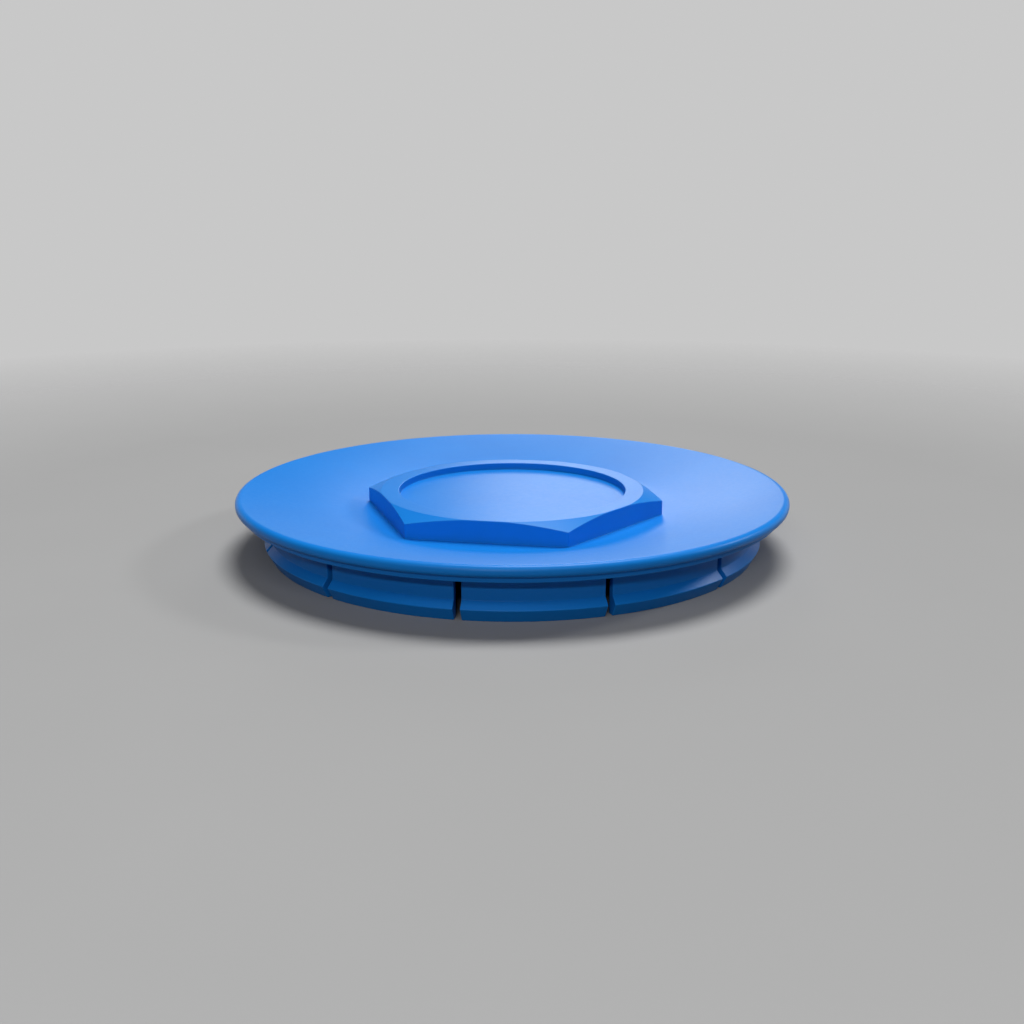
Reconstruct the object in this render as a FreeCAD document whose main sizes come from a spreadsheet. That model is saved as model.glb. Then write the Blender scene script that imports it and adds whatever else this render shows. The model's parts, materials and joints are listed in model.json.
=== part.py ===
import FreeCAD, Part
import math
import os

import Sketcher

# Wheel center cap: one moulding that snaps into the bore of a wheel and covers its bolts.
# Millimetres. The feet of the snap fingers stand on Z = 0, the wheel's axis is Z and the outer face looks up.

NODE = "wheel_center_cap"

# Driving sizes: alias, value, meaning.
SIZES = (
    ("neck_diameter", 140.0, "outside of the finger skirt, in the bore of the wheel"),
    ("skirt_height", 12.0, "from the feet of the fingers up to the seat"),
    ("finger_wall", 2.0, "thickness of the finger skirt"),
    ("barb_reach", 1.8, "how far a barb stands out from the neck"),
    ("lead_in_height", 3.3, "from the foot up to the tip of the barb"),
    ("catch_height", 1.9, "from the tip of the barb up to the neck"),
    ("root_bevel", 0.3, "bevel inside the skirt, where it meets the plate"),
    ("slot_count", 12, "slots round the skirt, one between each two fingers"),
    ("slot_width", 1.8, "width of a slot"),
    ("slot_margin", 1.3, "from the top of a slot up to the seat"),
    ("land_width", 7.0, "width of the seat outside the neck"),
    ("rim_overhang", 2.2, "how far the rim stands out from the seat land"),
    ("rim_lift", 1.6, "from the seat up to the lowest point of the rim"),
    ("plate_thickness", 3.0, "wall of the dished plate, its floor and the face of the boss"),
    ("dish_depth", 6.8, "from the top of the rim down to the floor of the dish"),
    ("floor_margin", 0.1, "from a corner of the boss out to the start of the cone"),
    ("hex_across_flats", 76.0, "hexagon boss, flat to flat"),
    ("hex_height", 6.0, "from the floor of the dish to the top of the boss"),
    ("hex_wall", 3.0, "side wall of the boss, seen from below"),
    ("chamfer_angle", 19.5, "turned chamfer on the corners of the boss, from its flat top, in degrees"),
    ("chamfer_outset", 0.2, "from a flat of the boss out to the circle where its chamfer starts"),
    ("ring_width", 5.0, "from a flat of the boss in to the wall of its recess"),
    ("recess_depth", 2.0, "round recess in the top of the boss"),
    ("cut_clearance", 1.0, "how far a cutting profile reaches past the solid"),
)

# Sizes that follow from the driving ones, as expressions of the sheet.
NECK_R = "Sizes.neck_diameter / 2"
INNER_R = "(Sizes.neck_diameter / 2 - Sizes.finger_wall)"
TIP_R = "(Sizes.neck_diameter / 2 + Sizes.barb_reach)"
LAND_R = "(Sizes.neck_diameter / 2 + Sizes.land_width)"
ROUND_R = "(Sizes.plate_thickness / 2)"
RIM_CENTRE_R = "(" + LAND_R + " + Sizes.rim_overhang - " + ROUND_R + ")"
RIM_CENTRE_Z = "(Sizes.skirt_height + Sizes.rim_lift + " + ROUND_R + ")"
FLOOR_Z = "(" + RIM_CENTRE_Z + " + " + ROUND_R + " - Sizes.dish_depth)"
UNDERSIDE_Z = "(" + FLOOR_Z + " - Sizes.plate_thickness)"
BOSS_TOP_Z = "(" + FLOOR_Z + " + Sizes.hex_height)"
HEX_APOTHEM = "(Sizes.hex_across_flats / 2)"
HEX_CORNER_R = "(" + HEX_APOTHEM + " / cos(30 deg))"
FLOOR_R = "(" + HEX_CORNER_R + " + Sizes.floor_margin)"
CHAMFER_R = "(" + HEX_APOTHEM + " + Sizes.chamfer_outset)"
CHAMFER_OUTER_R = "(" + HEX_CORNER_R + " + Sizes.cut_clearance)"
CHAMFER_DROP = "((" + CHAMFER_OUTER_R + " - " + CHAMFER_R + ") * tan(Sizes.chamfer_angle * 1 deg))"
SLOT_TOP_Z = "(Sizes.skirt_height - Sizes.slot_margin)"
SLOT_REACH = "(Sizes.finger_wall + Sizes.barb_reach + 2 * Sizes.cut_clearance)"

# What a constraint can pick on a curve, and the sketch's own axes, in the order in which a sketch counts them.
PICKS = ("whole", "start", "end", "centre")
AXES = ("none", "across", "up")

doc = FreeCAD.newDocument(NODE)
sheet = doc.addObject("Spreadsheet::Sheet", "Sizes")


def fill_sheet():
    """Write each driving size into the sheet under its alias."""
    for row, (alias, value, meaning) in enumerate(SIZES, start=1):
        sheet.set("A%d" % row, alias)
        sheet.set("B%d" % row, str(value))
        sheet.setAlias("B%d" % row, alias)
        sheet.set("C%d" % row, meaning)
    doc.recompute()


def size(expression):
    """The number that an expression of the sheet comes to."""
    result = sheet.evalExpression(expression)
    return float(getattr(result, "Value", result))


def origin_feature(body, role):
    """The body's own origin plane or axis with this role."""
    return next(item for item in body.Origin.OriginFeatures if item.Role == role)


def new_sketch(body, name, role, height=None):
    """A sketch on one of the body's origin planes, moved along its normal by an expression of the sheet."""
    sketch = body.newObject("Sketcher::SketchObject", name)
    sketch.AttachmentSupport = (origin_feature(body, role), [""])
    sketch.MapMode = "FlatFace"
    if height:
        sketch.setExpression("AttachmentOffset.Base.z", height)
    return sketch


def add_line(sketch, first, last):
    """A line between two points of the sketch."""
    return sketch.addGeometry(Part.LineSegment(FreeCAD.Vector(*first), FreeCAD.Vector(*last)))


def add_arc(sketch, middle, radius, first_angle, last_angle):
    """An arc that turns to the left from its first angle to its last angle, in radians."""
    circle = Part.Circle(FreeCAD.Vector(*middle), FreeCAD.Vector(0, 0, 1), radius)
    return sketch.addGeometry(Part.ArcOfCircle(circle, first_angle, last_angle))


def start(curve):
    """The start of a line or an arc, for a constraint."""
    return curve, PICKS.index("start")


def end(curve):
    """The end of a line or an arc, for a constraint."""
    return curve, PICKS.index("end")


def centre(curve):
    """The centre of an arc or a circle, for a constraint."""
    return curve, PICKS.index("centre")


def axis(name):
    """A sketch's own axis, for a constraint."""
    return -AXES.index(name)


def origin():
    """A sketch's own origin, where its axes start, for a constraint."""
    return start(axis("across"))


def hold(sketch, kind, *where):
    """Add a constraint that has no dimension."""
    sketch.addConstraint(Sketcher.Constraint(kind, *where))


def bind(sketch, name, expression, kind, *where):
    """Add a dimension whose value is an expression of the sheet."""
    index = sketch.addConstraint(Sketcher.Constraint(kind, *where, size(expression)))
    sketch.renameConstraint(index, name)
    sketch.setExpression("Constraints." + name, expression)


def draw_section(sketch):
    """Half section of the turned form: dished plate, full-round rim, seat land and barbed skirt."""
    inner_r, neck_r, tip_r, land_r = size(INNER_R), size(NECK_R), size(TIP_R), size(LAND_R)
    seat_z = size("Sizes.skirt_height")
    tip_z = size("Sizes.lead_in_height")
    neck_z = tip_z + size("Sizes.catch_height")
    floor_r, floor_z, underside_z = size(FLOOR_R), size(FLOOR_Z), size(UNDERSIDE_Z)
    rim_r, rim_z, round_r = size(RIM_CENTRE_R), size(RIM_CENTRE_Z), size(ROUND_R)
    bevel = size("Sizes.root_bevel")

    # The cone leaves the edge of the floor and is tangent to the rim's round, which sets its slope.
    run, rise = rim_r - floor_r, rim_z - floor_z
    slope = math.atan2(rise, run) + math.asin(round_r / math.hypot(run, rise))
    across = (math.sin(slope) * round_r, math.cos(slope) * round_r)
    cone_end = (rim_r - across[0], rim_z + across[1])
    under_start = (rim_r + across[0], rim_z - across[1])

    def under_z(radius):
        """Height of the conical underside at a radius."""
        return under_start[1] + (radius - under_start[0]) * math.tan(slope)

    root_end = (inner_r - bevel, under_z(inner_r - bevel))
    root_start = (inner_r, root_end[1] - bevel)
    cone_foot = (under_start[0] + (underside_z - under_start[1]) / math.tan(slope), underside_z)

    floor = add_line(sketch, (0, floor_z), (floor_r, floor_z))
    cone = add_line(sketch, (floor_r, floor_z), cone_end)
    rim = add_arc(sketch, (rim_r, rim_z), round_r, slope - math.pi / 2, slope + math.pi / 2)
    under = add_line(sketch, under_start, (land_r, under_z(land_r)))
    land = add_line(sketch, (land_r, under_z(land_r)), (land_r, seat_z))
    seat = add_line(sketch, (land_r, seat_z), (neck_r, seat_z))
    neck = add_line(sketch, (neck_r, seat_z), (neck_r, neck_z))
    catch = add_line(sketch, (neck_r, neck_z), (tip_r, tip_z))
    lead_in = add_line(sketch, (tip_r, tip_z), (neck_r, 0))
    foot = add_line(sketch, (neck_r, 0), (inner_r, 0))
    wall = add_line(sketch, (inner_r, 0), root_start)
    root = add_line(sketch, root_start, root_end)
    cone_under = add_line(sketch, root_end, cone_foot)
    floor_under = add_line(sketch, cone_foot, (0, underside_z))
    middle = add_line(sketch, (0, underside_z), (0, floor_z))

    corners = ((floor, cone), (under, land), (land, seat), (seat, neck), (neck, catch), (catch, lead_in),
               (lead_in, foot), (foot, wall), (wall, root), (root, cone_under), (cone_under, floor_under),
               (floor_under, middle), (middle, floor))
    for first, second in corners:
        hold(sketch, "Coincident", *end(first), *start(second))
    for level in (floor, seat, foot, floor_under):
        hold(sketch, "Horizontal", level)
    for upright in (land, neck, wall):
        hold(sketch, "Vertical", upright)
    hold(sketch, "Tangent", *end(cone), *end(rim))
    hold(sketch, "Tangent", *start(rim), *start(under))
    hold(sketch, "Parallel", cone, under)
    hold(sketch, "Tangent", under, cone_under)
    hold(sketch, "PointOnObject", *start(floor), axis("up"))
    hold(sketch, "PointOnObject", *start(middle), axis("up"))
    hold(sketch, "PointOnObject", *end(lead_in), axis("across"))

    bind(sketch, "floor_radius", FLOOR_R, "DistanceX", *origin(), *end(floor))
    bind(sketch, "floor_height", FLOOR_Z, "DistanceY", *origin(), *end(floor))
    bind(sketch, "rim_radius", RIM_CENTRE_R, "DistanceX", *origin(), *centre(rim))
    bind(sketch, "rim_height", RIM_CENTRE_Z, "DistanceY", *origin(), *centre(rim))
    bind(sketch, "rim_round", ROUND_R, "Radius", rim)
    bind(sketch, "land_radius", LAND_R, "DistanceX", *origin(), *end(land))
    bind(sketch, "seat_height", "Sizes.skirt_height", "DistanceY", *origin(), *end(land))
    bind(sketch, "neck_radius", NECK_R, "DistanceX", *origin(), *end(neck))
    bind(sketch, "barb_radius", TIP_R, "DistanceX", *origin(), *start(lead_in))
    bind(sketch, "barb_height", "Sizes.lead_in_height", "DistanceY", *origin(), *start(lead_in))
    bind(sketch, "catch_rise", "Sizes.catch_height", "DistanceY", *end(catch), *start(catch))
    bind(sketch, "foot_radius", NECK_R, "DistanceX", *origin(), *end(lead_in))
    bind(sketch, "wall_thickness", "Sizes.finger_wall", "DistanceX", *end(foot), *start(foot))
    bind(sketch, "root_width", "Sizes.root_bevel", "DistanceX", *end(root), *start(root))
    bind(sketch, "root_height", "Sizes.root_bevel", "DistanceY", *start(root), *end(root))
    bind(sketch, "floor_thickness", "Sizes.plate_thickness", "DistanceY", *start(middle), *end(middle))


def draw_hexagon(sketch, apothem):
    """Regular hexagon round the origin, with two of its flats square to the sketch's X axis."""
    corner_r = size(apothem) / math.cos(math.pi / 6)
    turns = [math.radians(30 + 60 * step) for step in range(6)]
    corners = [(corner_r * math.cos(turn), corner_r * math.sin(turn)) for turn in turns]
    guide = sketch.addGeometry(Part.Circle(FreeCAD.Vector(0, 0), FreeCAD.Vector(0, 0, 1), corner_r), True)
    sides = [add_line(sketch, corners[step - 1], corners[step]) for step in range(6)]
    hold(sketch, "Coincident", *centre(guide), *origin())
    for step, side in enumerate(sides):
        hold(sketch, "Coincident", *end(sides[step - 1]), *start(side))
        hold(sketch, "PointOnObject", *start(side), guide)
    for side in sides[1:]:
        hold(sketch, "Equal", sides[0], side)
    hold(sketch, "Vertical", sides[0])
    bind(sketch, "apothem", apothem, "DistanceX", *origin(), *end(sides[0]))


def draw_chamfer(sketch):
    """Section of the cut that turns the corners off the boss, as on a nut."""
    inner_r, outer_r = size(CHAMFER_R), size(CHAMFER_OUTER_R)
    edge_z = size(BOSS_TOP_Z)
    low_z = edge_z - size(CHAMFER_DROP)
    high_z = edge_z + size("Sizes.cut_clearance")
    slant = add_line(sketch, (inner_r, edge_z), (outer_r, low_z))
    outside = add_line(sketch, (outer_r, low_z), (outer_r, high_z))
    above = add_line(sketch, (outer_r, high_z), (inner_r, high_z))
    inside = add_line(sketch, (inner_r, high_z), (inner_r, edge_z))
    for first, second in ((slant, outside), (outside, above), (above, inside), (inside, slant)):
        hold(sketch, "Coincident", *end(first), *start(second))
    hold(sketch, "Vertical", outside)
    hold(sketch, "Horizontal", above)
    hold(sketch, "Vertical", inside)
    bind(sketch, "edge_radius", CHAMFER_R, "DistanceX", *origin(), *start(slant))
    bind(sketch, "edge_height", BOSS_TOP_Z, "DistanceY", *origin(), *start(slant))
    bind(sketch, "outer_radius", CHAMFER_OUTER_R, "DistanceX", *origin(), *end(slant))
    bind(sketch, "drop", CHAMFER_DROP, "DistanceY", *end(slant), *start(slant))
    bind(sketch, "clearance", "Sizes.cut_clearance", "DistanceY", *end(inside), *start(inside))


def draw_recess(sketch):
    """Round recess in the top of the boss."""
    radius = HEX_APOTHEM + " - Sizes.ring_width"
    circle = sketch.addGeometry(Part.Circle(FreeCAD.Vector(0, 0), FreeCAD.Vector(0, 0, 1), size(radius)))
    hold(sketch, "Coincident", *centre(circle), *origin())
    bind(sketch, "recess_radius", radius, "Radius", circle)


def draw_slot(sketch):
    """Slot between two fingers, open at the feet and round at its top."""
    half = size("Sizes.slot_width") / 2
    round_z = size(SLOT_TOP_Z) - half
    low_z = -size("Sizes.cut_clearance")
    top = add_arc(sketch, (0, round_z), half, 0, math.pi)
    left = add_line(sketch, (-half, round_z), (-half, low_z))
    bottom = add_line(sketch, (-half, low_z), (half, low_z))
    right = add_line(sketch, (half, low_z), (half, round_z))
    hold(sketch, "Tangent", *end(top), *start(left))
    hold(sketch, "Tangent", *end(right), *start(top))
    hold(sketch, "Coincident", *end(left), *start(bottom))
    hold(sketch, "Coincident", *end(bottom), *start(right))
    hold(sketch, "Vertical", left)
    hold(sketch, "Vertical", right)
    hold(sketch, "Horizontal", bottom)
    hold(sketch, "PointOnObject", *centre(top), axis("up"))
    bind(sketch, "width", "Sizes.slot_width", "DistanceX", *start(bottom), *end(bottom))
    bind(sketch, "round_height", SLOT_TOP_Z + " - Sizes.slot_width / 2", "DistanceY", *origin(), *centre(top))
    bind(sketch, "clearance", "Sizes.cut_clearance", "DistanceY", *start(bottom), *origin())


def add_feature(body, kind, name, sketch, **expressions):
    """A feature made from a sketch, with its sizes bound to expressions of the sheet."""
    feature = body.newObject("PartDesign::" + kind, name)
    feature.Profile = sketch
    for size_name, expression in expressions.items():
        feature.setExpression(size_name, expression)
    sketch.Visibility = False
    return feature


def add_shell(body):
    """Plate, rim, land and skirt, turned in one piece."""
    sketch = new_sketch(body, "ShellSection", "XZ_Plane")
    draw_section(sketch)
    shell = add_feature(body, "Revolution", "Shell", sketch)
    shell.ReferenceAxis = (sketch, ["V_Axis"])
    shell.Angle = 360


def add_boss(body):
    """Hexagon boss on the floor of the dish, chamfered, recessed above and cored out from below."""
    outline = new_sketch(body, "BossOutline", "XY_Plane", FLOOR_Z)
    draw_hexagon(outline, HEX_APOTHEM)
    add_feature(body, "Pad", "Boss", outline, Length="Sizes.hex_height")

    corner_cut = new_sketch(body, "ChamferSection", "XZ_Plane")
    draw_chamfer(corner_cut)
    chamfer = add_feature(body, "Groove", "BossChamfer", corner_cut)
    chamfer.ReferenceAxis = (corner_cut, ["V_Axis"])
    chamfer.Angle = 360

    recess = new_sketch(body, "RecessOutline", "XY_Plane", BOSS_TOP_Z)
    draw_recess(recess)
    add_feature(body, "Pocket", "BossRecess", recess, Length="Sizes.recess_depth")

    core = new_sketch(body, "CoreOutline", "XY_Plane", UNDERSIDE_Z)
    draw_hexagon(core, HEX_APOTHEM + " - Sizes.hex_wall")
    hollow = add_feature(body, "Pocket", "BossCore", core, Length="Sizes.hex_height - Sizes.recess_depth")
    hollow.Reversed = True


def add_slots(body):
    """Slots that part the skirt into fingers, at even turns round the axis."""
    outline = new_sketch(body, "SlotOutline", "YZ_Plane", INNER_R + " - Sizes.cut_clearance")
    draw_slot(outline)
    slot = add_feature(body, "Pocket", "Slot", outline, Length=SLOT_REACH)
    slot.Reversed = True
    ring = body.newObject("PartDesign::PolarPattern", "SlotRing")
    ring.Originals = [slot]
    ring.Axis = (origin_feature(body, "Z_Axis"), [""])
    ring.Angle = 360
    ring.setExpression("Occurrences", "Sizes.slot_count")
    body.Tip = ring


def check_document(body):
    """Stop unless every object is sound, each cut takes material and the cap is one valid solid."""
    for item in doc.Objects:
        if "Invalid" in item.State or "Error" in item.State:
            raise RuntimeError("%s did not build: %s" % (item.Label, item.State))
    for name in ("BossChamfer", "BossRecess", "BossCore", "Slot", "SlotRing"):
        feature = doc.getObject(name)
        if feature.Shape.Volume >= feature.BaseFeature.Shape.Volume:
            raise RuntimeError("%s cuts nothing" % name)
    shape = body.Shape
    if shape.isNull() or not shape.isValid() or len(shape.Solids) != 1:
        raise RuntimeError("%s is not one valid solid" % body.Label)


def build():
    """Build the cap and write its solid."""
    fill_sheet()
    cap = doc.addObject("PartDesign::Body", "Cap")
    cap.Label = NODE
    add_shell(cap)
    add_boss(cap)
    add_slots(cap)
    doc.recompute()
    check_document(cap)
    os.makedirs("parts", exist_ok=True)
    cap.Shape.exportStep("parts/%s.step" % cap.Label)


build()
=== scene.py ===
import json
import math

import bmesh
import bpy
from mathutils import Euler, Matrix, Vector


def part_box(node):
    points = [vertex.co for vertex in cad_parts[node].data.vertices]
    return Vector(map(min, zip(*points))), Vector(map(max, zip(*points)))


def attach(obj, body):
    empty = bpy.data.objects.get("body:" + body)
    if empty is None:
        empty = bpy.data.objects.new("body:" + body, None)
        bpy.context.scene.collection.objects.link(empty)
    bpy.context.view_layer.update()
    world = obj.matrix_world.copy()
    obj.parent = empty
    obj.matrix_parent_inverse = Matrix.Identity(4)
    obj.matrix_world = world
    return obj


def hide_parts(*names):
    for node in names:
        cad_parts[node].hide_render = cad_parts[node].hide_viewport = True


# Wheel center cap in satin blue plastic on a pale studio floor. Metres, +Z up, in the frame of the solids.

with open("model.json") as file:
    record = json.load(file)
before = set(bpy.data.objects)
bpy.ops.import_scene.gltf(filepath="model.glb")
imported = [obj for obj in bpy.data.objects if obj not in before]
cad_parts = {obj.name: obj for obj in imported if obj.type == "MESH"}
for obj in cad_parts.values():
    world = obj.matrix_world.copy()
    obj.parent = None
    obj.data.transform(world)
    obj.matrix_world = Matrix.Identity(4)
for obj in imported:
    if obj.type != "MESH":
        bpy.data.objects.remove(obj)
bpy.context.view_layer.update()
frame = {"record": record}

NODE = "wheel_center_cap"
BODY = "root"
MM = 0.001

# Sizes that the frame gives.
mounts = {mount["name"]: mount for mount in frame["record"]["mounts"]}
RIM_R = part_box(NODE)[1].x
RIM_TOP_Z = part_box(NODE)[1].z
SEAT_Z = mounts["seat"]["pos_m"][2]
RECESS_Z = mounts["badge_recess"]["pos_m"][2]
NECK_R = mounts["snap_skirt"]["dims"]["r_mm"] * MM

# The cap's other driving sizes, as in the solids.
PLATE = 3.0 * MM
DISH_DEPTH = 6.8 * MM
LAND_WIDTH = 7.0 * MM
FINGER_WALL = 2.0 * MM
BARB_REACH = 1.8 * MM
LEAD_IN_HEIGHT = 3.3 * MM
CATCH_HEIGHT = 1.9 * MM
ROOT_BEVEL = 0.3 * MM
SLOT_COUNT = 12
SLOT_HALF = 0.9 * MM
SLOT_MARGIN = 1.3 * MM
HEX_APOTHEM = 38.0 * MM
HEX_WALL = 3.0 * MM
RING_WIDTH = 5.0 * MM
RECESS_DEPTH = 2.0 * MM
FLOOR_MARGIN = 0.1 * MM
CHAMFER_ANGLE = 19.5
CHAMFER_OUTSET = 0.2 * MM

# Small rounds that the mould leaves on the edges, and the profile of a bevel that makes a circular one.
EDGE_ROUND = 0.25 * MM
INNER_ROUND = 0.2 * MM
FOOT_ROUND = 0.1 * MM
CORNER_ROUND = 0.3 * MM
SLOT_ROUND = 0.2 * MM
ROOT_ROUND = 0.35 * MM
ROUND_PROFILE = 0.5

# Sizes that follow.
SIXTH = math.pi / 3
SECTOR = 2 * math.pi / SLOT_COUNT
SLOPE_TAN = math.tan(math.radians(CHAMFER_ANGLE))
SLOPE_COS = math.cos(math.radians(CHAMFER_ANGLE))
FLOOR_Z = RIM_TOP_Z - DISH_DEPTH
UNDER_Z = FLOOR_Z - PLATE
BOSS_TOP_Z = RECESS_Z + RECESS_DEPTH
CORE_TOP_Z = RECESS_Z - PLATE
RECESS_R = HEX_APOTHEM - RING_WIDTH
CORE_APOTHEM = HEX_APOTHEM - HEX_WALL
CHAMFER_R = HEX_APOTHEM + CHAMFER_OUTSET
FLOOR_R = HEX_APOTHEM / math.cos(SIXTH / 2) + FLOOR_MARGIN
INNER_R = NECK_R - FINGER_WALL
TIP_R = NECK_R + BARB_REACH
LAND_R = NECK_R + LAND_WIDTH
RIM_ROUND = PLATE / 2
SPRING_Z = SEAT_Z - SLOT_MARGIN - SLOT_HALF

# How finely the cap is divided. HALO is the border of mesh round each slot, and FAN_HALF is half the width
# over which a slot's columns spread on the plate. Vertices closer than WELD are merged.
ARCH_STEPS = 8
FINGER_STEPS = 38
ROUND_STEPS = 3
SHOULDER_STEPS = 2
RIM_STEPS = 20
CONE_STEPS = 5
HALO = 0.3 * MM
FAN_HALF = 1.6 * MM
WELD = 0.005 * MM


def arc(centre, radius, first, last, steps=ROUND_STEPS):
    """Section points of an arc from a first to a last angle, in degrees."""
    points = []
    for step in range(steps + 1):
        turn = math.radians(first + (last - first) * step / steps)
        points.append(Vector((centre[0] + radius * math.cos(turn), centre[1] + radius * math.sin(turn))))
    return points


def run(first, last, steps):
    """Section points between two points, both left out."""
    return [first.lerp(last, step / steps) for step in range(1, steps)]


def soften(chain, rounding):
    """Section points of the inner corners of a chain, each turned into a small arc."""
    points = []
    for before, corner, after in zip(chain, chain[1:], chain[2:]):
        into, out = (corner - before).normalized(), (after - corner).normalized()
        turn = math.atan2(into.cross(out), into.dot(out))
        start = corner - into * rounding * math.tan(abs(turn) / 2)
        centre = start + Vector((-into.y, into.x)) * math.copysign(rounding, turn)
        for step in range(ROUND_STEPS + 1):
            points.append(centre + Matrix.Rotation(turn * step / ROUND_STEPS, 2) @ (start - centre))
    return points


def hexagon_reach(turn, apothem):
    """How far a hexagon with rounded corners reaches from the axis, at a turn round it."""
    from_flat = abs((turn + SIXTH / 2) % SIXTH - SIXTH / 2)
    from_corner = SIXTH / 2 - from_flat
    round_r = (apothem - CORNER_ROUND) / math.cos(SIXTH / 2)
    tangent = math.atan2(CORNER_ROUND * math.sin(SIXTH / 2), round_r + CORNER_ROUND * math.cos(SIXTH / 2))
    if from_corner > tangent:
        return apothem / math.cos(from_flat)
    aside = round_r * math.sin(from_corner)
    return round_r * math.cos(from_corner) + math.sqrt(CORNER_ROUND ** 2 - aside ** 2)


def boss_section(turn):
    """From the recess over the top and the chamfer of the boss down to the floor of the dish."""
    reach = hexagon_reach(turn, HEX_APOTHEM)
    recess = [Vector((0, RECESS_Z)), Vector((RECESS_R, RECESS_Z)), Vector((RECESS_R, BOSS_TOP_Z)),
              Vector((HEX_APOTHEM, BOSS_TOP_Z))]
    edge_r = reach - EDGE_ROUND
    shoulder_r = min(edge_r, CHAMFER_R - EDGE_ROUND * math.tan(math.radians(CHAMFER_ANGLE) / 2))
    flat_z = BOSS_TOP_Z - EDGE_ROUND
    edge_z = min(flat_z, BOSS_TOP_Z - (edge_r - CHAMFER_R) * SLOPE_TAN - EDGE_ROUND / SLOPE_COS)
    foot = (reach + FOOT_ROUND, FLOOR_Z + FOOT_ROUND)
    return (soften(recess, EDGE_ROUND)
            + arc((shoulder_r, flat_z), EDGE_ROUND, 90, 90 - CHAMFER_ANGLE, SHOULDER_STEPS)
            + arc((edge_r, edge_z), EDGE_ROUND, 90 - CHAMFER_ANGLE, 0)
            + arc(foot, FOOT_ROUND, 180, 270))


def core_section(turn):
    """From the underside of the plate up into the hollow of the boss."""
    reach = hexagon_reach(turn, CORE_APOTHEM)
    return (arc((reach + EDGE_ROUND, UNDER_Z + EDGE_ROUND), EDGE_ROUND, 270, 180)
            + arc((reach - EDGE_ROUND, CORE_TOP_Z - EDGE_ROUND), EDGE_ROUND, 0, 90))


def plate_sections():
    """The dish and rim down to the top of the neck, and the underside from the root of the skirt inward."""
    rim = Vector((RIM_R - RIM_ROUND, RIM_TOP_Z - RIM_ROUND))
    floor_edge = Vector((FLOOR_R, FLOOR_Z))
    away = rim - floor_edge
    slope = math.atan2(away.y, away.x) + math.asin(RIM_ROUND / away.length)
    degrees = math.degrees(slope)
    round_points = arc(rim, RIM_ROUND, 90 + degrees, degrees - 90, RIM_STEPS)

    def under_z(radius):
        """Height of the conical underside at a radius."""
        return round_points[-1].y + (radius - round_points[-1].x) * math.tan(slope)

    step_chain = [round_points[-1], Vector((LAND_R, under_z(LAND_R))), Vector((LAND_R, SEAT_Z)),
                  Vector((NECK_R, SEAT_Z)), Vector((NECK_R, SPRING_Z))]
    root_end = Vector((INNER_R - ROOT_BEVEL, under_z(INNER_R - ROOT_BEVEL)))
    root_start = Vector((INNER_R, root_end.y - ROOT_BEVEL))
    under_foot = Vector((round_points[-1].x + (UNDER_Z - round_points[-1].y) / math.tan(slope), UNDER_Z))
    upper = ([floor_edge] + run(floor_edge, round_points[0], CONE_STEPS) + round_points
             + soften(step_chain, INNER_ROUND))
    root_chain = [Vector((INNER_R, SPRING_Z)), root_start, root_end, under_foot]
    lower = soften(root_chain, ROOT_ROUND) + run(root_end, under_foot, CONE_STEPS) + [under_foot]
    return upper, lower


def finger_section():
    """A snap finger from the spring of its slot down over the barb and up its inner side."""
    outer_spring, inner_spring = Vector((NECK_R, SPRING_Z)), Vector((INNER_R, SPRING_Z))
    chain = [outer_spring, Vector((NECK_R, LEAD_IN_HEIGHT + CATCH_HEIGHT)), Vector((TIP_R, LEAD_IN_HEIGHT)),
             Vector((NECK_R, 0)), Vector((INNER_R, 0)), inner_spring]
    return [outer_spring] + soften(chain, EDGE_ROUND) + [inner_spring]


class Column:
    """The points of the cap at one turn round its axis.

    Columns numbered from -ARCH_STEPS to ARCH_STEPS lie across a slot, and the rest across a finger.
    """

    def __init__(self, mesh, sector, number):
        self.mesh = mesh
        self.middle = sector * SECTOR
        self.number = number

    def turn(self, half=FAN_HALF, radius=NECK_R):
        """The column's turn. Slot columns spread over half a width to each side, between parallel walls."""
        if abs(self.number) <= ARCH_STEPS:
            return self.middle + math.asin(half * self.number / ARCH_STEPS / radius)
        halo = math.asin((half + HALO) / radius)
        share = (self.number - ARCH_STEPS - 1) / FINGER_STEPS
        return self.middle + halo + share * (SECTOR - 2 * halo)

    def vertex(self, point, turn):
        """Vertex of a section point at a turn."""
        return self.mesh.verts.new((point[0] * math.cos(turn), point[0] * math.sin(turn), point[1]))

    def chain(self, points, on_skirt=False):
        """Vertices of section points at this column's turn."""
        vertices = []
        for point in points:
            turn = self.turn(SLOT_HALF, point[0]) if on_skirt else self.turn()
            vertices.append(self.vertex(point, turn))
        return vertices

    def collar(self, radius, reach):
        """Vertex round the top of the slot, on the outside or the inside of the skirt."""
        lean = math.pi / 2 * self.number / ARCH_STEPS
        turn = self.middle + math.asin(reach * math.sin(lean) / radius)
        return self.vertex((radius, SPRING_Z + reach * math.cos(lean)), turn)


def strip(mesh, first, second):
    """Faces between two chains of vertices, of which some may be shared."""
    for near, far in zip(zip(first, second), zip(first[1:], second[1:])):
        corners = dict.fromkeys((near[0], far[0], far[1], near[1]))
        if len(corners) > 2:
            mesh.faces.new(list(corners))


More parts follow.
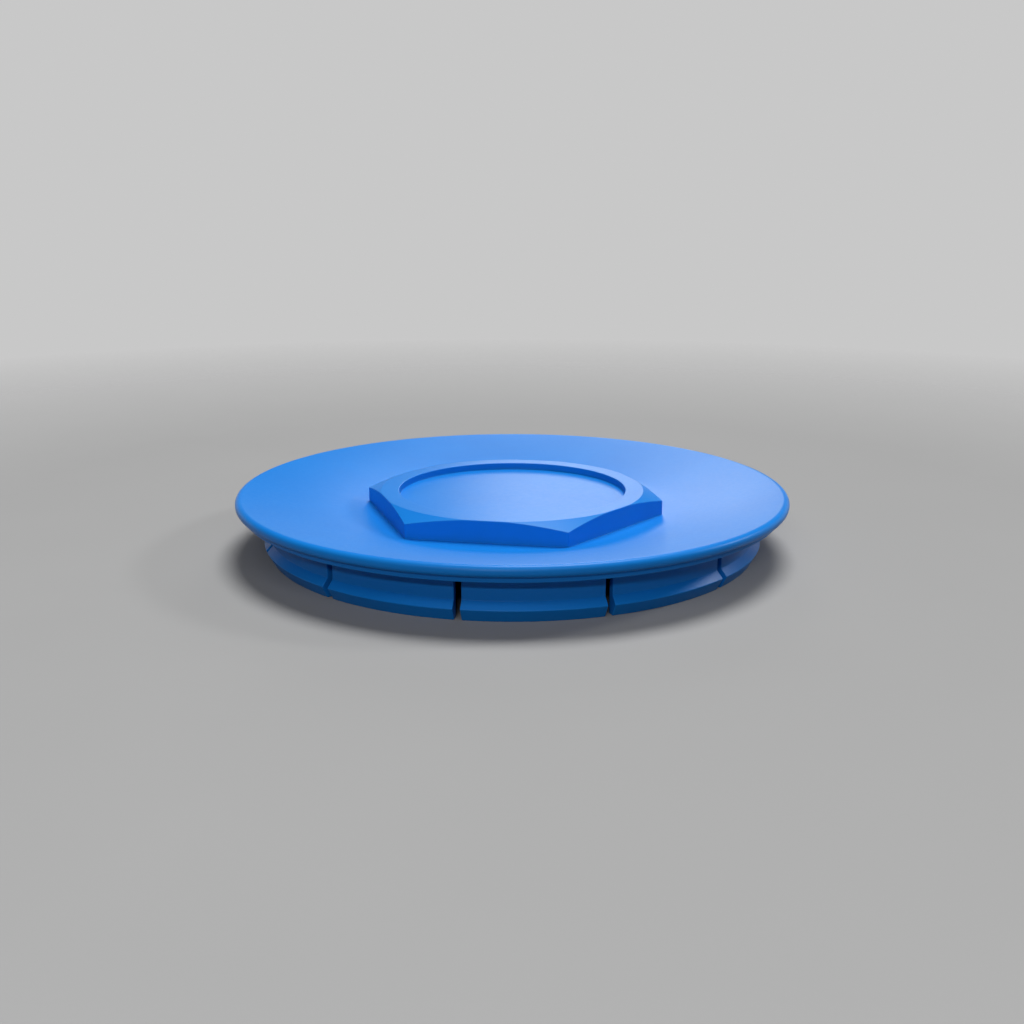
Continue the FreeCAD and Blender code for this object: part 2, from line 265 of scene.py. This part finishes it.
def build_columns(mesh):
    """Every column of the cap, in order round the axis, each a set of vertex chains."""
    upper, lower = plate_sections()
    finger = finger_section()
    columns = []
    for sector in range(SLOT_COUNT):
        for number in range(-ARCH_STEPS, ARCH_STEPS + FINGER_STEPS + 2):
            column = Column(mesh, sector, number)
            turn = column.turn()
            column.upper = column.chain(boss_section(turn) + upper)
            column.lower = column.chain(lower + core_section(turn))
            column.slot = column.finger = None
            if abs(number) <= ARCH_STEPS:
                column.slot = [column.collar(NECK_R, SLOT_HALF + HALO), column.collar(NECK_R, SLOT_HALF),
                               column.collar(INNER_R, SLOT_HALF), column.collar(INNER_R, SLOT_HALF + HALO)]
            if abs(number) == ARCH_STEPS:
                column.finger = [column.slot[1]] + column.chain(finger[1:-1], True) + [column.slot[2]]
            columns.append(column)
    return columns, finger


def build_fingers(columns, finger):
    """Give each column between two slots its finger, sharing the slots' outermost collar points."""
    for place, column in enumerate(columns):
        if column.slot:
            continue
        before, after = columns[place - 1], columns[(place + 1) % len(columns)]
        beside = before if before.slot else after
        if beside.slot:
            column.finger = [beside.slot[0]] + column.chain(finger[1:-1], True) + [beside.slot[3]]
        else:
            column.finger = column.chain(finger, True)


def join(mesh, first, second):
    """Faces between two neighbouring columns."""
    strip(mesh, first.upper, second.upper)
    strip(mesh, first.lower, second.lower)
    if first.slot and second.slot:
        strip(mesh, [first.upper[-1]] + first.slot + [first.lower[0]],
              [second.upper[-1]] + second.slot + [second.lower[0]])
        return
    strip(mesh, first.finger, second.finger)
    for column in (first, second):
        outline = column.slot or column.finger
        column.ends = (outline[0], outline[-1])
    strip(mesh, [first.upper[-1], first.ends[0]], [second.upper[-1], second.ends[0]])
    strip(mesh, [first.ends[1], first.lower[0]], [second.ends[1], second.lower[0]])


def fan(mesh, ring):
    """Flat faces from the axis out to a ring of vertices."""
    middle = mesh.verts.new((0, 0, ring[0].co.z))
    for place, vertex in enumerate(ring):
        mesh.faces.new((middle, ring[place - 1], vertex))


def round_slots(mesh, inside):
    """Take the sharp edge off each slot, where its walls and arch meet the faces of the skirt."""
    rims = [edge for edge in mesh.edges if sum(face in inside for face in edge.link_faces) == 1]
    bmesh.ops.bevel(mesh, geom=rims, offset=SLOT_ROUND, offset_type="OFFSET", segments=ROUND_STEPS,
                    profile=ROUND_PROFILE, affect="EDGES", clamp_overlap=False)


def large_face_normal(vertex):
    """Shading normal that follows the largest faces at a vertex, so that flat faces look flat."""
    total = Vector()
    for face in vertex.link_faces:
        total += face.normal * face.calc_area() / MM ** 2
    return total.normalized()


def build_cap():
    """The cap as one closed mesh, with the small rounds of a moulding on its edges."""
    mesh = bmesh.new()
    columns, finger = build_columns(mesh)
    build_fingers(columns, finger)
    for place, column in enumerate(columns):
        join(mesh, columns[place - 1], column)
    fan(mesh, [column.upper[0] for column in columns])
    fan(mesh, [column.lower[-1] for column in columns])
    inside = {mesh.faces.new(column.finger) for column in columns if column.slot and column.finger}
    for first, second in zip(columns, columns[1:]):
        if first.slot and second.slot:
            arch = {first.slot[1], first.slot[2], second.slot[1], second.slot[2]}
            inside.update(face for face in first.slot[1].link_faces if set(face.verts) == arch)
    bmesh.ops.remove_doubles(mesh, verts=mesh.verts, dist=WELD)
    bmesh.ops.recalc_face_normals(mesh, faces=mesh.faces)
    round_slots(mesh, inside)
    mesh.normal_update()
    for face in mesh.faces:
        face.smooth = True
    normals = [large_face_normal(vertex) for vertex in mesh.verts]
    data = bpy.data.meshes.new("center_cap")
    mesh.to_mesh(data)
    mesh.free()
    data.normals_split_custom_set_from_vertices(normals)
    cap = bpy.data.objects.new("center_cap", data)
    bpy.context.scene.collection.objects.link(cap)
    return cap


# The photograph's camera, in the frame of the cap.
CAMERA_PLACE = Vector((0.2081, -0.2423, 0.09345))
CAMERA_PITCH = math.radians(75.0675)
CAMERA_TURN = math.radians(40.67)
CAMERA_SENSOR_MM = 36.0
CAMERA_LENS_MM = 39.373
CAMERA_NEAR = 0.01
CAMERA_FAR = 20.0

# Studio. Lamps stand at LAMP_REACH from the cap. A gloss shows the pale backdrop up to a rise with the sine
# BACKDROP_TOP and dim walls above DIM_FROM, and other light meets AIR and FLOOR_BOUNCE instead. The floor
# fades into the backdrop from FADE_FROM to FADE_TO away from the axis.
LAMP_REACH = 1.2
BACKDROP = 0.578
BACKDROP_TOP = 0.17
DIM = 0.04
DIM_FROM = 0.21
AIR = 0.03
FLOOR_TONE = 0.36
FLOOR_BOUNCE = 0.15
FLOOR_GLOSS = 0.1
FLOOR_ROUGH = (0.8, 0.9)
MOTTLE = 0.01
MOTTLE_SIZE = 60 * MM
MOTTLE_DETAIL = 3.0
FADE_FROM = 0.2
FADE_TO = 0.55

# Tones, gloss and grain of the plastic.
BLUE_DEEP = (0.0065, 0.22, 0.735)
BLUE_BRIGHT = (0.0075, 0.234, 0.765)
CLOUD_SIZE = 22 * MM
CLOUD_DETAIL = 3.0
PLASTIC_GLOSS = 0.15
SATIN = (0.325, 0.375)
PATCH_SIZE = 1.2 * MM
PATCH_DETAIL = 4.0
GRAIN_SIZE = 0.18 * MM
GRAIN_DETAIL = 2.0
GRAIN_STRENGTH = 0.1
GRAIN_DEPTH = 0.02 * MM

# Nearly all values of a noise lie between these.
NOISE_LOW = 0.3
NOISE_HIGH = 0.7


def add_camera():
    """The photograph's viewpoint."""
    data = bpy.data.cameras.new("camera")
    data.sensor_width = CAMERA_SENSOR_MM
    data.lens = CAMERA_LENS_MM
    data.clip_start = CAMERA_NEAR
    data.clip_end = CAMERA_FAR
    camera = bpy.data.objects.new("camera", data)
    camera.location = CAMERA_PLACE
    camera.rotation_euler = Euler((CAMERA_PITCH, 0.0, CAMERA_TURN))
    bpy.context.scene.collection.objects.link(camera)
    bpy.context.scene.camera = camera


def view_direction(turn, rise):
    """Unit vector at a turn to the right of the camera's heading and a rise above the floor, in degrees."""
    heading = CAMERA_TURN - math.radians(turn)
    level = math.cos(math.radians(rise))
    return Vector((-math.sin(heading) * level, math.cos(heading) * level, math.sin(math.radians(rise))))


def add_lamp(name, kind, turn, rise, strength):
    """A lamp that shines on the cap from a direction, unseen by the camera itself."""
    data = bpy.data.lights.new(name, kind)
    data.energy = strength
    lamp = bpy.data.objects.new(name, data)
    towards = view_direction(turn, rise)
    lamp.location = towards * LAMP_REACH
    lamp.rotation_euler = towards.to_track_quat("Z", "Y").to_euler()
    lamp.visible_camera = False
    bpy.context.scene.collection.objects.link(lamp)
    return data


def add_sun(name, turn, rise, strength, spread):
    """Even light from a direction, as wide as its spread in degrees."""
    data = add_lamp(name, "SUN", turn, rise, strength)
    data.angle = math.radians(spread)


def add_panel(name, turn, rise, width, height, watts):
    """A soft box in a direction."""
    data = add_lamp(name, "AREA", turn, rise, watts)
    data.shape = "RECTANGLE"
    data.size = width
    data.size_y = height


def add_node(tree, kind, values):
    """A shader node with some of its inputs set."""
    node = tree.nodes.new("ShaderNode" + kind)
    for name, value in values.items():
        node.inputs[name].default_value = value
    return node


def add_ramp(tree, source, stops):
    """A ramp of greys or colours driven by a socket, with stops as pairs of place and colour."""
    ramp = tree.nodes.new("ShaderNodeValToRGB")
    tree.links.new(source, ramp.inputs["Fac"])
    for element, (place, colour) in zip(ramp.color_ramp.elements, stops):
        element.position = place
        element.color = (*colour, 1.0)
    return ramp.outputs["Color"]


def add_noise(tree, where, size, detail):
    """Noise with features of a size in metres."""
    noise = add_node(tree, "TexNoise", {"Scale": 1.0 / size, "Detail": detail})
    tree.links.new(where, noise.inputs["Vector"])
    return noise.outputs["Fac"]


def vary(tree, noise, low, high):
    """A colour that goes from one to another with a noise."""
    return add_ramp(tree, noise, [(NOISE_LOW, low), (NOISE_HIGH, high)])


def grey(level):
    """The colour of a grey level."""
    return (level, level, level)


def where_seen(tree, colour, otherwise):
    """A colour for what is seen directly, in a gloss or through glass, and a grey for all other light."""
    path = tree.nodes.new("ShaderNodeLightPath")
    seen = path.outputs["Is Camera Ray"]
    for kind in ("Is Glossy Ray", "Is Transmission Ray"):
        either = tree.nodes.new("ShaderNodeMath")
        either.operation = "MAXIMUM"
        tree.links.new(seen, either.inputs[0])
        tree.links.new(path.outputs[kind], either.inputs[1])
        seen = either.outputs["Value"]
    mix = add_node(tree, "MixRGB", {"Color1": (*grey(otherwise), 1.0)})
    tree.links.new(seen, mix.inputs["Fac"])
    tree.links.new(colour, mix.inputs["Color2"])
    return mix.outputs["Color"]


def add_world():
    """Dim studio air, with a pale backdrop behind the cap, which a gloss shows low round the horizon only."""
    world = bpy.data.worlds.new("studio")
    bpy.context.scene.world = world
    world.use_nodes = True
    tree = world.node_tree
    where = tree.nodes.new("ShaderNodeTexCoord")
    split = tree.nodes.new("ShaderNodeSeparateXYZ")
    tree.links.new(where.outputs["Generated"], split.inputs["Vector"])
    walls = add_ramp(tree, split.outputs["Z"], [(BACKDROP_TOP, grey(BACKDROP)), (DIM_FROM, grey(DIM))])
    backdrop = add_node(tree, "MixRGB", {"Color2": (*grey(BACKDROP), 1.0)})
    path = tree.nodes.new("ShaderNodeLightPath")
    tree.links.new(path.outputs["Is Camera Ray"], backdrop.inputs["Fac"])
    tree.links.new(walls, backdrop.inputs["Color1"])
    seen = where_seen(tree, backdrop.outputs["Color"], AIR)
    tree.links.new(seen, tree.nodes["Background"].inputs["Color"])


def floor_paint():
    """Matt pale floor with a faint mottle, which fades into the backdrop away from the cap."""
    material = bpy.data.materials.new("floor")
    material.use_nodes = True
    tree = material.node_tree
    shader = tree.nodes["Principled BSDF"]
    shader.inputs["Specular IOR Level"].default_value = FLOOR_GLOSS
    where = tree.nodes.new("ShaderNodeTexCoord").outputs["Object"]
    mottle = add_noise(tree, where, MOTTLE_SIZE, MOTTLE_DETAIL)
    tone = vary(tree, mottle, grey(FLOOR_TONE * (1 - MOTTLE)), grey(FLOOR_TONE * (1 + MOTTLE)))
    tree.links.new(where_seen(tree, tone, FLOOR_BOUNCE), shader.inputs["Base Color"])
    matt = vary(tree, mottle, grey(FLOOR_ROUGH[0]), grey(FLOOR_ROUGH[1]))
    tree.links.new(matt, shader.inputs["Roughness"])
    reach = tree.nodes.new("ShaderNodeVectorMath")
    reach.operation = "LENGTH"
    tree.links.new(where, reach.inputs[0])
    fade = add_ramp(tree, reach.outputs["Value"], [(FADE_FROM, grey(0.0)), (FADE_TO, grey(1.0))])
    clear = tree.nodes.new("ShaderNodeBsdfTransparent")
    mix = tree.nodes.new("ShaderNodeMixShader")
    tree.links.new(fade, mix.inputs["Fac"])
    tree.links.new(shader.outputs["BSDF"], mix.inputs[1])
    tree.links.new(clear.outputs["BSDF"], mix.inputs[2])
    tree.links.new(mix.outputs["Shader"], tree.nodes["Material Output"].inputs["Surface"])
    return material


def add_floor():
    """The plane that the cap stands on."""
    mesh = bpy.data.meshes.new("floor")
    corners = [(-1, -1), (1, -1), (1, 1), (-1, 1)]
    mesh.from_pydata([(x * FADE_TO, y * FADE_TO, 0) for x, y in corners], [], [(0, 1, 2, 3)])
    mesh.materials.append(floor_paint())
    floor = bpy.data.objects.new("floor", mesh)
    bpy.context.scene.collection.objects.link(floor)


def plastic():
    """Satin blue plastic with the fine grain of a moulded surface."""
    material = bpy.data.materials.new("blue_plastic")
    material.use_nodes = True
    tree = material.node_tree
    shader = tree.nodes["Principled BSDF"]
    shader.inputs["Specular IOR Level"].default_value = PLASTIC_GLOSS
    where = tree.nodes.new("ShaderNodeTexCoord").outputs["Object"]
    cloud = add_noise(tree, where, CLOUD_SIZE, CLOUD_DETAIL)
    tree.links.new(vary(tree, cloud, BLUE_DEEP, BLUE_BRIGHT), shader.inputs["Base Color"])
    patches = add_noise(tree, where, PATCH_SIZE, PATCH_DETAIL)
    tree.links.new(vary(tree, patches, grey(SATIN[0]), grey(SATIN[1])), shader.inputs["Roughness"])
    grain = add_noise(tree, where, GRAIN_SIZE, GRAIN_DETAIL)
    bump = add_node(tree, "Bump", {"Strength": GRAIN_STRENGTH, "Distance": GRAIN_DEPTH})
    tree.links.new(grain, bump.inputs["Height"])
    tree.links.new(bump.outputs["Normal"], shader.inputs["Normal"])
    return material


cap = build_cap()
cap.data.materials.append(plastic())
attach(cap, BODY)
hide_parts(NODE)

add_camera()
add_world()
add_floor()
add_sun("overhead", turn=20, rise=70, strength=2.68, spread=28)
add_sun("key", turn=72, rise=30, strength=0.6, spread=8)
add_panel("back_panel", turn=5, rise=22, width=0.3, height=0.36, watts=1.28)
add_panel("high_fill", turn=187, rise=46, width=1.2, height=0.17, watts=2.6)
add_panel("front_light", turn=188, rise=27, width=0.35, height=0.05, watts=2.1)

bpy.context.scene.view_settings.view_transform = "Standard"
